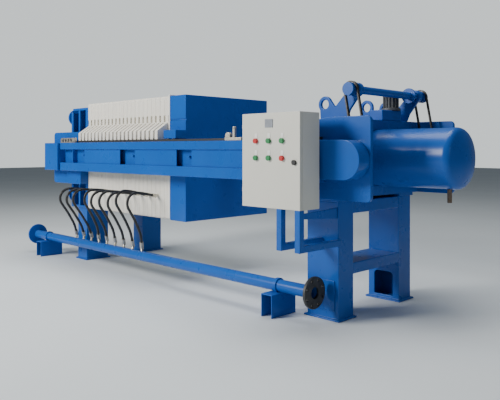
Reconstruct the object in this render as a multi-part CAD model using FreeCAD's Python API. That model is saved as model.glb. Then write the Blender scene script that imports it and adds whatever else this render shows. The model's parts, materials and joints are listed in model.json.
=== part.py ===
"""Plate filter press: a pack of square chamber plates squeezed between a fixed thrust head and a
follower by one hydraulic cylinder, with overhead-open side beams, plate-shifter chain drive,
squeeze-air manifold with hoses, and a control cabinet. Millimetres, +Z up, floor at Z = 0.

Layout values are given from the machine datum: X = 0 is the plate face of the thrust head and X grows
towards the cylinder, Y = 0 is the centre plane and -Y is the operator's side. When all nodes are made
they are moved so that the origin is under the middle of the whole press, on the floor.
"""
import FreeCAD, Part

import math
import os

V = FreeCAD.Vector
X_AXIS = V(1, 0, 0)
Y_AXIS = V(0, 1, 0)
Z_AXIS = V(0, 0, 1)

# ---------------------------------------------------------------- driving dimensions
# Clearances
parting_gap = 0.4          # between one closed filter plate and the next
seat_gap = 0.3             # a moving or round piece over what carries it
running_clearance = 0.06   # radial, pins and shafts in their bores
moving_clearance = 6.0     # a moving piece past its neighbours

# Filter plates
plate_count = 21
plate_pitch = 60.0
plate_width = 930.0
plate_height = 1000.0
plate_bottom_z = 502.0
plate_corner_radius = 18.0
chamber_rim = 55.0
chamber_depth = 14.0
handle_reach = 108.0
handle_overlap = 27.0      # how far the handles reach over the beams
handle_thickness = 38.0
handle_tip_height = 72.0
handle_root_height = 143.0
neck_height = 53.0
neck_depth = 30.0
port_height_z = 694.0
end_sheet_thickness = 14.0
end_sheet_margin = 4.0
end_sheet_rise = 10.0

# Side beams
beam_width = 80.0
beam_bottom_z = 867.0
beam_height = 264.0
beam_web = 20.0
upper_rail_height = 63.0
lower_rail_height = 76.0
wear_strip_width = 36.0
wear_strip_height = 18.0
panel_thickness = 6.0
panel_recess = 14.0
panel_spans = [(187.0, 773.0), (990.0, 1544.0), (1722.0, 2600.0)]
panel_to_guide = 66.0
stiffener_x = -29.0
stiffener_thickness = 10.0
chain_guide_size = 34.0
chain_guide_reach = 26.0

# Thrust head and what it stands on
head_inset = 7.0           # thrust head narrower than the plates, each side
head_length = 332.0
head_bottom_z = 502.0
head_top_z = 1470.0
head_face_plate = 60.0
head_back_plate = 36.0
head_rib = 30.0
head_top_plate = 22.0
head_centre_web = 40.0
head_back_step = 40.0
head_top_step = 30.0
head_shelf_inset = 60.0
arm_left_x = -517.0
arm_bottom_z = 738.0
arm_top_z = 1235.0
arm_corner_radius = 34.0
end_block_length = 259.0
end_block_proud = 22.0
rail_end_gap = 12.0
head_leg_x = (-232.0, -62.0)
head_leg_inset = 17.0
head_leg_width = 235.0
leg_wall = 10.0
foot_plate_thickness = 12.0
foot_plate_lip = 17.0
feed_pipe_radius = 57.0
feed_flange_radius = 110.0
feed_flange_pcd = 180.0
feed_bore_radius = 50.0
feed_flange_holes = 8
outlet_pipe_radius = 30.0
outlet_flange_radius = 82.5
outlet_flange_pcd = 125.0
outlet_bore_radius = 25.0
outlet_flange_holes = 4
flange_hole_radius = 9.0
outlet_inset = 108.0
outlet_drop = 83.0         # upper filtrate outlets below the head's top
outlet_rise = 115.0        # lower filtrate outlets above the head's bottom
nozzle_length = 110.0
nozzle_flange_thickness = 20.0

# Follower (moving head)
follower_thickness = 200.0
follower_drop = 4.0
follower_face_plate = 50.0
follower_side_plate = 20.0
follower_groove_z = 1302.0
follower_groove_height = 10.0
follower_groove_depth = 8.0
follower_bracket_x = (62.0, 215.0)
follower_bracket_height = 66.0
follower_bracket_wall = 12.0
follower_bracket_lip = 5.0
roller_side_room = 4.0
roller_radius = 26.0
roller_width = 22.0
roller_pin_radius = 9.0
roller_spacing = 70.0

# Hydraulic cylinder and its housing
rod_exposed = 1185.0
rod_radius = 85.0
rod_flange_radius = 150.0
rod_flange_thickness = 40.0
piston_thickness = 90.0
stroke = 600.0
piston_end_room = 36.0
barrel_radius = 187.0
barrel_wall = 25.0
gland_thickness = 60.0
beam_seat_width = 27.0
housing_length = 562.0
housing_box_length = 283.0
housing_bottom_z = 763.0
housing_top_z = 1268.0
housing_plate = 25.0
shoulder_length = 239.0
shoulder_drop = 42.0
housing_corner_radius = 30.0
cap_overlap = 2.0          # cap prouder than the barrel it is welded over
cap_straight = 12.0
cap_knuckle = 47.0
drain_nozzle_radius = 14.0
drain_nozzle_length = 84.0
drain_nozzle_back = 34.0

# Housing legs
leg_margin = 15.0
leg_length = 251.0
leg_inset = 91.0
leg_width = 156.0
leg_top_z = 742.0
lower_tie_z = (276.0, 348.0)
upper_tie_z = (663.0, 742.0)
leg_window_width = 150.0
leg_window_z = (34.0, 200.0)
leg_window_corner = 26.0
cover_plate_size = (155.0, 190.0)
cover_plate_z = 60.0
cover_plate_thickness = 8.0
cover_plate_offset = 20.0
pad_height = 21.0
pad_margin = 12.0

# Chain guard at the cylinder end of each beam
guard_setback = 246.0
guard_length = 311.0
guard_drop = 258.5         # guard's middle below the housing's top
guard_half_height = 117.5

# Cross drive shaft, its sprockets, chains and lugs
shaft_offset_x = 351.0     # shaft beyond the housing's left face
shaft_rise = 172.0         # shaft above the housing's top
shaft_radius = 25.0
shaft_half_length = 452.0
shaft_core_radius = 17.0
sprocket_teeth = 16
sprocket_pitch_radius = 40.0
sprocket_tooth_depth = 7.0
sprocket_width = 9.0
sprocket_y = 416.0
end_cap_radius = 40.0
end_cap_width = 14.0
disc_radius = 52.0
disc_width = 12.0
disc_y = 254.0
chain_width = 20.0
chain_thickness = 9.0
chain_lift = 2.0
lower_sprocket_setback = 125.0
lug_y = 355.0
lug_thickness = 20.0
lug_eye_offset_x = 109.0
lug_eye_rise = 93.0
lug_eye_radius = 30.0
lug_eye_rim = 22.0
lug_valley = (189.0, 73.0)
lug_foot = 76.0
lug_slant = 40.0           # degrees
lug_waist = (304.0, 50.0)
bearing_radius = 44.0
bearing_length = 40.0
middle_eye_y = 115.0
gearbox_x = (176.0, 283.0)
gearbox_y = (40.0, 280.0)
gearbox_height = 70.0
motor_x = 241.0
motor_y = 210.0
motor_radius = 55.0
motor_height = 92.0
motor_flange_radius = 66.0
motor_flange_thickness = 18.0
motor_cowl_height = 22.0
fin_count = 16
fin_height = 6.0
fin_thickness = 4.0

# Control cabinet on its stand
cabinet_offset_x = -180.0
cabinet_width = 470.0
cabinet_depth = 178.0
cabinet_standoff = 200.0
cabinet_z = (719.0, 1290.0)
cabinet_wall = 2.0
cabinet_flange = 14.0
door_thickness = 20.0
door_gap = 1.5
hinge_radius = 7.0
hinge_pin_radius = 3.0
hinge_length = 26.0
hinge_inset_z = 90.0
button_radius = 16.0
button_height = 16.0
button_rows_z = (1019.0, 1122.0)
button_inset = 121.0
button_spacing = 107.0
display_size = (62.0, 50.0)
display_thickness = 4.0
display_z = 1227.0
lock_radius = 15.0
lock_height = 12.0
lock_inset = 41.0
lock_z = 995.0
post_size = 40.0
post_inset = (41.0, 183.0)
post_bottom_z = 473.0
upper_arm_z = 664.0
upper_arm_height = 30.0
gusset_thickness = 8.0
gusset_flare = (24.0, 14.0)     # below and above the arm, at the leg

# Squeeze-air manifold along the operator's side
pipe_standoff = 128.0
pipe_z = 188.0
pipe_radius = 40.0
pipe_wall = 4.0
pipe_left_reach = 345.0
pipe_right_reach = 185.0
pipe_flange_radius = 100.0
pipe_flange_thickness = 20.0
pipe_flange_pcd = 160.0
pipe_flange_holes = 8
pipe_flange_hole_radius = 9.0
support_left_reach = 80.0
support_right_reach = 120.0
support_width = 95.0
support_length = 230.0
support_wall = 7.0
clamp_width = 26.0
clamp_thickness = 9.0

# Hoses from the manifold to every second plate
hose_radius = 11.0
hose_plates = [3, 5, 7, 9, 11, 13, 15, 17, 19]
outlet_first_x = -55.0
outlet_spacing = 133.75
ferrule_radius = 15.5
ferrule_length = 58.0
plate_ferrule_length = 36.0
stub_radius = 10.0
fitting_overlap = 6.0      # stubs let into the sleeves
fitting_sink = 3.0         # stubs let into the pipe

# Plate shifter carriage on the beam, and the take-up rack at the beam's other end
shifter_x = (2090.0, 2255.0)
shifter_height = 22.0
shifter_travel_x = (40.0, 2630.0)
shifter_roller_radius = 24.0
shifter_roller_width = 26.0
shifter_post_size = 20.0
shifter_post_height = 62.0
shifter_knob_radius = 13.0
rack_x = (-246.0, 4.0)
rack_width = 34.0
rack_height = 46.0
rack_slots = 4
rack_slot_width = 30.0
rack_slot_height = 22.0


# ---------------------------------------------------------------- worked-out places
handle_tip_y = plate_width / 2 + handle_reach
beam_inner_y = handle_tip_y - handle_overlap
beam_outer_y = beam_inner_y + beam_width
beam_top_z = beam_bottom_z + beam_height
handle_bottom_z = beam_top_z + wear_strip_height + seat_gap
head_half_width = plate_width / 2 - head_inset
head_leg_y = (head_half_width - head_leg_inset - head_leg_width, head_half_width - head_leg_inset)
outlet_offset_y = head_half_width - outlet_inset
outlet_zs = (head_bottom_z + outlet_rise, head_top_z - outlet_drop)
plate_thickness = plate_pitch - parting_gap
pack_length = plate_count * plate_pitch
plate_top_z = plate_bottom_z + plate_height
follower_x = pack_length + end_sheet_thickness
follower_back_x = follower_x + follower_thickness
plate_middle_z = plate_bottom_z + plate_height / 2
cylinder_z = (housing_bottom_z + housing_top_z) / 2
housing_left_x = follower_back_x + rod_exposed
housing_right_x = housing_left_x + housing_length
housing_box_x = housing_left_x + housing_box_length
housing_half_width = beam_inner_y - beam_seat_width
housing_shoulder_x = housing_left_x + shoulder_length
housing_shoulder_z = housing_top_z - shoulder_drop
leg_x = (housing_left_x + leg_margin, housing_left_x + leg_margin + leg_length)
leg_y = (housing_half_width - leg_inset - leg_width, housing_half_width - leg_inset)
guard_left_x = housing_left_x + guard_setback
guard_right_x = guard_left_x + guard_length
guard_middle_z = housing_top_z - guard_drop
end_block_right_x = arm_left_x + end_block_length
rail_left_x = end_block_right_x + rail_end_gap
rail_right_x = guard_left_x - rail_end_gap
barrel_bore = barrel_radius - barrel_wall
gland_x = housing_left_x + housing_plate
piston_x = gland_x + gland_thickness + moving_clearance
cap_seam_x = piston_x + piston_thickness + stroke + piston_end_room
shaft_x = housing_left_x + shaft_offset_x
shaft_z = housing_top_z + shaft_rise
lower_sprocket_x = guard_right_x - lower_sprocket_setback
lug_eye_x = housing_left_x + lug_eye_offset_x
lug_eye_z = housing_top_z + lug_eye_rise
cabinet_x = (housing_left_x + cabinet_offset_x, housing_left_x + cabinet_offset_x + cabinet_width)
cabinet_front_y = -(beam_outer_y + cabinet_standoff)
cabinet_back_y = cabinet_front_y + cabinet_depth
button_columns_x = [cabinet_x[0] + button_inset + button_spacing * i for i in range(3)]
lock_x = cabinet_x[1] - lock_inset
post_x = [cabinet_x[1] - inset for inset in post_inset]
pipe_y = -(leg_y[1] + pipe_standoff)
pipe_left_x = arm_left_x - pipe_left_reach
pipe_right_x = housing_left_x + pipe_right_reach
support_x = (arm_left_x - support_left_reach, housing_left_x - support_right_reach)
pipe_top_z = pipe_z + pipe_radius
outlet_xs = [outlet_first_x + outlet_spacing * i for i in range(len(hose_plates))]
plate_port_xs = [plate_pitch * (n - 0.5) for n in hose_plates]


# ---------------------------------------------------------------- shape helpers
def box(x0, x1, y0, y1, z0, z1):
    """A block between two corners."""
    return Part.makeBox(x1 - x0, y1 - y0, z1 - z0, V(x0, y0, z0))


def rod(start, axis, radius, length):
    """A round bar from a point along an axis."""
    return Part.makeCylinder(radius, length, start, axis)


def ring(start, axis, radius, bore, length):
    """A round bar with a hole along its middle."""
    return rod(start, axis, radius, length).cut(rod(start, axis, bore, length))


def slab_y(points, y0, y1):
    """A plate in the XZ plane: (x, z) corners, from y0 to y1."""
    wire = Part.makePolygon([V(x, y0, z) for x, z in points + points[:1]])
    return Part.Face(wire).extrude(V(0, y1 - y0, 0))


def slab_x(points, x0, x1):
    """A plate in the YZ plane: (y, z) corners, from x0 to x1."""
    wire = Part.makePolygon([V(x0, y, z) for y, z in points + points[:1]])
    return Part.Face(wire).extrude(V(x1 - x0, 0, 0))


def rounded(shape, radius, axis, chosen=None):
    """The shape with its straight edges along an axis rounded, or only those that chosen accepts."""
    edges = []
    for edge in shape.Edges:
        if len(edge.Vertexes) != 2:
            continue
        run = edge.Vertexes[1].Point - edge.Vertexes[0].Point
        if run.cross(axis).Length > 1e-6 * run.Length:
            continue
        if chosen is None or chosen(edge.CenterOfMass):
            edges.append(edge)
    return shape.makeFillet(radius, edges)


def fused(*shapes):
    """The pieces welded into one solid."""
    whole = shapes[0].fuse(list(shapes[1:])) if len(shapes) > 1 else shapes[0]
    return whole.removeSplitter()


def mirrored(shape):
    """The same piece on the other side of the centre plane."""
    return shape.mirror(V(0, 0, 0), Y_AXIS)


def bolt_circle(centre, axis, across, pcd, count, radius, length):
    """Round cutters on a circle; across is a direction in the circle's plane."""
    cutters = []
    for i in range(count):
        turn = FreeCAD.Rotation(axis, 360.0 * (i + 0.5) / count)
        cutters.append(rod(centre + turn.multVec(across) * (pcd / 2), axis, radius, length))
    return Part.makeCompound(cutters)


nodes = {}


def keep(name, *shapes):
    """Files one or more solids as a node."""
    nodes[name] = shapes[0] if len(shapes) == 1 else Part.makeCompound(list(shapes))


# ---------------------------------------------------------------- filter plates
def handle(x_middle):
    """The carrying handle on the +Y edge: it rests on the beam's wear strip and slopes up to the plate."""
    root_y = plate_width / 2 - neck_depth
    profile = [
        (root_y, handle_bottom_z),
        (handle_tip_y, handle_bottom_z),
        (handle_tip_y, handle_bottom_z + handle_tip_height),
        (plate_width / 2, handle_bottom_z + handle_root_height),
        (root_y, handle_bottom_z + handle_root_height),
    ]
    return slab_x(profile, x_middle - handle_thickness / 2, x_middle + handle_thickness / 2)


def filter_plate(x):
    """One chamber plate: sealing rim, recessed faces, necked edge over the handles, two handles."""
    half = plate_width / 2
    body = box(x, x + plate_thickness, -half, half, plate_bottom_z, plate_top_z)
    body = rounded(body, plate_corner_radius, X_AXIS)
    rim = half - chamber_rim
    low = plate_bottom_z + chamber_rim
    high = plate_top_z - chamber_rim
    body = body.cut(box(x, x + chamber_depth, -rim, rim, low, high))
    body = body.cut(box(x + plate_thickness - chamber_depth, x + plate_thickness, -rim, rim, low, high))
    neck_low = handle_bottom_z + handle_root_height
    neck_high = neck_low + neck_height
    cheek = (plate_thickness - handle_thickness) / 2
    for side in (-1, 1):
        y0, y1 = sorted((side * half, side * (half - neck_depth)))
        body = body.cut(box(x, x + cheek, y0, y1, neck_low, neck_high))
        body = body.cut(box(x + plate_thickness - cheek, x + plate_thickness, y0, y1, neck_low, neck_high))
    grip = handle(x + plate_thickness / 2)
    return fused(body, grip, mirrored(grip))


def filter_plates():
    plates = [filter_plate(i * plate_pitch + parting_gap) for i in range(plate_count)]
    keep("chamber_plates", *plates[0::2])
    keep("membrane_plates", *plates[1::2])
    half = plate_width / 2 + end_sheet_margin
    keep("end_sheet", box(
        pack_length + parting_gap, follower_x - parting_gap, -half, half,
        plate_bottom_z + end_sheet_rise, plate_top_z + end_sheet_rise))


# ---------------------------------------------------------------- side beams
def side_beam():
    """The +Y beam: inner web, two rails outside it and the upright between its first windows."""
    web = box(rail_left_x, rail_right_x, beam_inner_y, beam_inner_y + beam_web, beam_bottom_z, beam_top_z)
    upper = box(
        rail_left_x, rail_right_x, beam_inner_y + beam_web, beam_outer_y,
        beam_top_z - upper_rail_height, beam_top_z)
    lower = box(
        rail_left_x, rail_right_x, beam_inner_y + beam_web, beam_outer_y,
        beam_bottom_z, beam_bottom_z + lower_rail_height)
    upright = box(
        stiffener_x - stiffener_thickness / 2, stiffener_x + stiffener_thickness / 2,
        beam_inner_y + beam_web, beam_outer_y - panel_recess,
        beam_bottom_z + lower_rail_height, beam_top_z - upper_rail_height)
    return fused(web, upper, lower, upright)


def rail_panels():
    """Cover panels let in between the +Y rails."""
    outer = beam_outer_y - panel_recess
    low = beam_bottom_z + lower_rail_height
    high = beam_top_z - upper_rail_height
    return [box(x0, x1, outer - panel_thickness, outer, low, high) for x0, x1 in panel_spans]


def chain_guides():
    """Small chain guide blocks on the +Y web, one by each window."""
    middle_z = (beam_bottom_z + lower_rail_height + beam_top_z - upper_rail_height) / 2
    places = [start - panel_to_guide for start, end in panel_spans]
    half = chain_guide_size / 2
    back = beam_inner_y + beam_web
    front = back + chain_guide_reach
    return [box(x - half, x + half, back, front, middle_z, middle_z + half) for x in places]


def beams():
    beam = fused(side_beam(), *chain_guides())
    keep("rear_beam", beam)
    keep("front_beam", mirrored(beam))
    panels = rail_panels()
    keep("rail_panels", *panels, *[mirrored(p) for p in panels])
    strip_y = handle_tip_y + moving_clearance - wear_strip_width
    strip = box(
        0.0, rail_right_x, strip_y, strip_y + wear_strip_width, beam_top_z, beam_top_z + wear_strip_height)
    keep("wear_strips", strip, mirrored(strip))
    block = box(
        arm_left_x, end_block_right_x, beam_inner_y, beam_outer_y + end_block_proud,
        beam_bottom_z, beam_top_z)
    tongue = box(
        end_block_right_x, rail_left_x, beam_inner_y, beam_inner_y + beam_web, beam_bottom_z, beam_top_z)
    keep("end_blocks", fused(block, tongue), mirrored(fused(block, tongue)))


def chain_guard():
    """The +Y guard round the shifter chain's sprocket: flat at the beam, half round at its far end."""
    radius = guard_half_height
    nose_x = guard_right_x - radius
    body = box(
        guard_left_x, nose_x, housing_half_width, beam_outer_y,
        guard_middle_z - radius, guard_middle_z + radius)
    start = V(nose_x, housing_half_width, guard_middle_z)
    return fused(body, rod(start, Y_AXIS, radius, beam_outer_y - housing_half_width))


# ---------------------------------------------------------------- thrust head
def thrust_head():
    """Fixed head: face and back plates joined by ribs, with deep pockets open to both sides."""
    half = head_half_width
    face = box(-head_face_plate, 0.0, -half, half, head_bottom_z, head_top_z)
    back_top = head_top_z - head_back_step
    back = box(-head_length, -head_length + head_back_plate, -half, half, head_bottom_z, back_top)
    top = box(-head_length + head_top_step, 0.0, -half, half, head_top_z - head_top_plate, head_top_z)
    floor = box(-head_length, 0.0, -half, half, head_bottom_z, head_bottom_z + head_top_plate)
    middle = -(head_length + head_face_plate - head_back_plate) / 2
    rib = box(
        middle - head_rib / 2, middle + head_rib / 2, -half, half, head_bottom_z, head_top_z - head_top_plate)
    web = box(-head_length, 0.0, -head_centre_web / 2, head_centre_web / 2, head_bottom_z, back_top)
    reach = half - head_shelf_inset
    shelf_zs = (arm_bottom_z, arm_top_z - head_rib)
    shelves = [box(-head_length, 0.0, -reach, reach, z, z + head_rib) for z in shelf_zs]
    return fused(face, back, top, floor, rib, web, *shelves)


def head_arm():
    """The +Y arm that ties the thrust head to its beam."""
    arm = box(arm_left_x, 0.0, head_half_width, beam_inner_y, arm_bottom_z, arm_top_z)
    return rounded(arm, arm_corner_radius, Y_AXIS, lambda c: c.x < arm_left_x + 1.0)


def box_leg(x_span, y_span, top_z):
    """A hollow box leg on its foot plate, on the +Y side, closed at its top."""
    x0, x1 = x_span
    y0, y1 = y_span
    lip = foot_plate_lip
    low = foot_plate_thickness
    shell = box(x0, x1, y0, y1, low, top_z)
    inside = box(x0 + leg_wall, x1 - leg_wall, y0 + leg_wall, y1 - leg_wall, low, top_z - leg_wall)
    foot = box(x0 - lip, x1 + lip, y0 - lip, y1 + lip, 0.0, low)
    return fused(shell.cut(inside), foot)


def nozzle(y, z, pipe, bore, flange, pcd, holes):
    """A flanged pipe stub on the back of the thrust head."""
    back_x = -head_length - nozzle_length
    start = V(back_x, y, z)
    stub = fused(
        rod(start, X_AXIS, pipe, nozzle_length), rod(start, X_AXIS, flange, nozzle_flange_thickness))
    stub = stub.cut(rod(start, X_AXIS, bore, nozzle_length))
    bolt_holes = bolt_circle(start, X_AXIS, Z_AXIS, pcd, holes, flange_hole_radius, nozzle_flange_thickness)
    return stub.cut(bolt_holes)


def fixed_end():
    keep("thrust_head", thrust_head())
    keep("head_arms", head_arm(), mirrored(head_arm()))
    leg = box_leg(head_leg_x, head_leg_y, head_bottom_z)
    keep("rear_head_leg", leg)
    keep("front_head_leg", mirrored(leg))
    keep("feed_nozzle", nozzle(
        0.0, plate_middle_z, feed_pipe_radius, feed_bore_radius, feed_flange_radius, feed_flange_pcd,
        feed_flange_holes))
    outlets = []
    for y in (-outlet_offset_y, outlet_offset_y):
        for z in outlet_zs:
            outlets.append(nozzle(
                y, z, outlet_pipe_radius, outlet_bore_radius, outlet_flange_radius, outlet_flange_pcd,
                outlet_flange_holes))
    keep("filtrate_nozzles", *outlets)


# ---------------------------------------------------------------- follower
def follower_plate():
    """Moving head: a closed welded block with a groove round its sides over the brackets."""
    half = plate_width / 2
    back = follower_back_x
    low = plate_bottom_z - follower_drop
    block = box(follower_x, back, -half, half, low, plate_top_z)
    hollow = box(
        follower_x + follower_face_plate, back - follower_side_plate, -half + follower_side_plate,
        half - follower_side_plate, low + follower_side_plate, plate_top_z - follower_side_plate)
    web_half = head_centre_web / 2
    web = box(follower_x, back, -web_half, web_half, low, plate_top_z)
    block = block.cut(hollow.cut(web))
    for side in (-1, 1):
        y0, y1 = sorted((side * half, side * (half - follower_groove_depth)))
        block = block.cut(box(
            follower_x, back, y0, y1, follower_groove_z, follower_groove_z + follower_groove_height))
    return block


def follower_bracket():
    """The +Y roller bracket of the follower: an upturned channel over the wear strip."""
    x0 = follower_x + follower_bracket_x[0]
    x1 = follower_x + follower_bracket_x[1]
    low = beam_top_z + wear_strip_height + moving_clearance
    outer = handle_tip_y + follower_bracket_lip
    body = box(x0, x1, plate_width / 2, outer, low, low + follower_bracket_height)
    slot_half = roller_width / 2 + roller_side_room
    slot = box(
        x0 + follower_bracket_wall, x1 - follower_bracket_wall,
        roller_y() - slot_half, roller_y() + slot_half,
        low, low + follower_bracket_height - follower_bracket_wall)
    return body.cut(slot)


def roller_y():
    """Just inside the middle of the wear strip, where the follower's rollers run."""
    return handle_tip_y + moving_clearance - wear_strip_width / 2 - roller_side_room


def follower_rollers():
    """The +Y pair of rollers with their pins."""
    middle = follower_x + sum(follower_bracket_x) / 2
    z = beam_top_z + wear_strip_height + seat_gap + roller_radius
    rollers = []
    for x in (middle - roller_spacing / 2, middle + roller_spacing / 2):
        start = V(x, roller_y() - roller_width / 2, z)
        wheel = rod(start, Y_AXIS, roller_radius, roller_width)
        pin = rod(
            start - Y_AXIS * roller_side_room, Y_AXIS, roller_pin_radius,
            roller_width + 2 * roller_side_room)
        rollers.append(fused(wheel, pin))
    return rollers


def piston_rod():
    """Rod with its flange on the follower's back and its piston in the barrel."""
    start = V(follower_back_x, 0, cylinder_z)
    flange = rod(start, X_AXIS, rod_flange_radius, rod_flange_thickness)
    bar = rod(start, X_AXIS, rod_radius, piston_x - follower_back_x)
    piston = rod(V(piston_x, 0, cylinder_z), X_AXIS, barrel_bore - seat_gap, piston_thickness)
    return fused(flange, bar, piston)


def moving_head():
    keep("follower", follower_plate())
    bracket = follower_bracket()
    keep("follower_brackets", bracket, mirrored(bracket))
    rollers = follower_rollers()
    keep("follower_rollers", *rollers, *[mirrored(r) for r in rollers])
    keep("piston_rod", piston_rod())


# ---------------------------------------------------------------- hydraulic cylinder
def cylinder_barrel():
    """Barrel through the housing, with the gland that guides the rod at its front."""
    start = V(gland_x, 0, cylinder_z)
    barrel = rod(start, X_AXIS, barrel_radius, cap_seam_x - gland_x)
    barrel = barrel.cut(rod(
        start + X_AXIS * gland_thickness, X_AXIS, barrel_bore, cap_seam_x - gland_x - gland_thickness))
    return barrel.cut(rod(start, X_AXIS, rod_radius + seat_gap, gland_thickness))


def cylinder_cap():
    """Dished end: a wide crown, turned into the barrel by a tight knuckle."""
    radius = barrel_radius + cap_overlap
    crown = 2 * radius
    turn = math.asin((radius - cap_knuckle) / (crown - cap_knuckle))
    knuckle_x = cap_seam_x + cap_straight
    knuckle = V(knuckle_x, radius - cap_knuckle, 0)
    centre = V(knuckle_x - (crown - cap_knuckle) * math.cos(turn), 0, 0)
    on_crown = centre + V(math.cos(turn), math.sin(turn), 0) * crown
    middle_turn = (turn + math.pi / 2) / 2
    on_knuckle = knuckle + V(math.cos(middle_turn), math.sin(middle_turn), 0) * cap_knuckle
    near_tip = centre + V(math.cos(turn / 2), math.sin(turn / 2), 0) * crown
    tip = centre + V(crown, 0, 0)
    profile = Part.Wire([
        Part.LineSegment(V(cap_seam_x, 0, 0), V(cap_seam_x, radius, 0)).toShape(),
        Part.LineSegment(V(cap_seam_x, radius, 0), V(knuckle_x, radius, 0)).toShape(),
        Part.Arc(V(knuckle_x, radius, 0), on_knuckle, on_crown).toShape(),
        Part.Arc(on_crown, near_tip, tip).toShape(),
        Part.LineSegment(tip, V(cap_seam_x, 0, 0)).toShape(),
    ])
    dome = Part.Face(profile).revolve(V(0, 0, 0), X_AXIS, 360)
    dome.translate(V(0, 0, cylinder_z))
    return dome


def housing_cheek():
    """The +Y side plate of the housing: shouldered at the plates' end, rounded at the cylinder's end."""
    outline = [
        (housing_left_x, housing_bottom_z), (housing_right_x, housing_bottom_z),
        (housing_right_x, housing_top_z), (housing_shoulder_x, housing_top_z),
        (housing_left_x, housing_shoulder_z)]
    cheek = slab_y(outline, housing_half_width - housing_plate, housing_half_width)
    return rounded(cheek, housing_corner_radius, Y_AXIS, lambda c: c.x > housing_right_x - 1.0)


def housing():
    """Welded housing of the cylinder: a closed box, and two side plates that run on past it."""
    t = housing_plate
    inner = housing_half_width - t
    front = box(
        housing_left_x, housing_left_x + t, -inner, inner, housing_bottom_z, housing_shoulder_z)
    front = front.cut(rod(V(housing_left_x, 0, cylinder_z), X_AXIS, rod_radius + moving_clearance, t))
    back = box(housing_box_x - t, housing_box_x, -inner, inner, housing_bottom_z, housing_top_z)
    back = back.cut(rod(V(housing_box_x - t, 0, cylinder_z), X_AXIS, barrel_radius + seat_gap, t))
    floor = box(housing_left_x, housing_box_x, -inner, inner, housing_bottom_z, housing_bottom_z + t)
    roof = slab_y([
        (housing_left_x, housing_shoulder_z - t), (housing_shoulder_x, housing_top_z - t),
        (housing_box_x, housing_top_z - t), (housing_box_x, housing_top_z),
        (housing_shoulder_x, housing_top_z), (housing_left_x, housing_shoulder_z)], -inner, inner)
    cheek = housing_cheek()
    return fused(front, back, floor, roof, cheek, mirrored(cheek))


def cylinder_group():
    keep("cylinder_housing", housing())
    keep("cylinder_barrel", cylinder_barrel())
    keep("cylinder_cap", cylinder_cap())
    guard = chain_guard()
    keep("chain_guards", guard, mirrored(guard))
    seat = box(
        housing_left_x, rail_right_x, housing_half_width, beam_inner_y, beam_bottom_z, beam_top_z)
    keep("beam_seats", seat, mirrored(seat))
    low_z = cylinder_z - barrel_radius
    around_barrel = rod(V(gland_x, 0, cylinder_z), X_AXIS, barrel_radius + seat_gap, cap_seam_x - gland_x)
    stub = rod(
        V(cap_seam_x - drain_nozzle_back, 0, low_z - drain_nozzle_length), Z_AXIS, drain_nozzle_radius,
        drain_nozzle_length + drain_nozzle_radius)
    keep("drain_nozzle", stub.cut(around_barrel))


# ---------------------------------------------------------------- housing legs
def housing_leg():
    """The +Y leg: box column with an arched access window in its inner wall near the floor."""
    leg = box_leg(leg_x, leg_y, leg_top_z)
    middle = sum(leg_x) / 2
    half = leg_window_width / 2
    low, high = leg_window_z
    window = box(middle - half, middle + half, leg_y[0], leg_y[0] + leg_wall, low, high)
    window = rounded(window, leg_window_corner, Y_AXIS, lambda c: c.z > low + 1.0)
    return leg.cut(window)


def housing_legs():
    leg = housing_leg()
    keep("rear_housing_leg", leg)
    keep("front_housing_leg", mirrored(leg))
    ties = []
    for low, high in (lower_tie_z, upper_tie_z):
        beam = box(leg_x[0], leg_x[1], -leg_y[0], leg_y[0], low, high)
        inside = box(
            leg_x[0] + leg_wall, leg_x[1] - leg_wall, -leg_y[0], leg_y[0], low + leg_wall, high - leg_wall)
        ties.append(beam.cut(inside))
    keep("leg_ties", *ties)
    m = pad_margin
    pad = box(
        leg_x[0] - m, leg_x[1] + m, leg_y[0] - m, leg_y[1] + m, leg_top_z, leg_top_z + pad_height)
    keep("housing_pads", pad, mirrored(pad))
    middle = sum(leg_x) / 2 + cover_plate_offset
    width, height = cover_plate_size
    front = -leg_y[1]
    keep("leg_cover", box(
        middle - width / 2, middle + width / 2, front - cover_plate_thickness, front,
        cover_plate_z, cover_plate_z + height))


# ---------------------------------------------------------------- cross shaft and chains
def sprocket(y, teeth, pitch_radius, width, bore):
    """A toothed wheel in the XZ plane at the origin, with round seats for the chain's rollers."""
    outer = pitch_radius
    wheel = ring(V(0, y - width / 2, 0), Y_AXIS, outer, bore, width)
    seats = []
    for i in range(teeth):
        angle = 2 * math.pi * i / teeth
        place = V(outer * math.cos(angle), y - width / 2, outer * math.sin(angle))
        seats.append(rod(place, Y_AXIS, sprocket_tooth_depth / 2, width))
    return wheel.cut(Part.makeCompound(seats))


def drive_shaft():
    """Cross shaft: tube between the sprockets, thinner ends, end discs, and the disc of the motor drive."""
    def bar(y0, y1, radius):
        return rod(V(0, y0, 0), Y_AXIS, radius, y1 - y0)

    inner_end = sprocket_y + sprocket_width / 2
    parts = [bar(-inner_end, inner_end, shaft_core_radius)]
    for side in (-1, 1):
        y0, y1 = sorted((side * shaft_half_length, side * inner_end))
        parts.append(bar(y0, y1, shaft_core_radius))
    parts.append(bar(-sprocket_y + sprocket_width / 2, sprocket_y - sprocket_width / 2, shaft_radius))
    parts.append(bar(disc_y, disc_y + disc_width, disc_radius))
    shaft = fused(*parts)
    for side in (-1, 1):
        shaft = shaft.fuse(sprocket(
            side * sprocket_y, sprocket_teeth, sprocket_pitch_radius, sprocket_width,
            shaft_core_radius - 1.0))
        y0, y1 = sorted((side * shaft_half_length, side * (shaft_half_length - end_cap_width)))
        shaft = shaft.fuse(bar(y0, y1, end_cap_radius))
    shaft.translate(V(shaft_x, 0, shaft_z))
    return shaft.removeSplitter()


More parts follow.
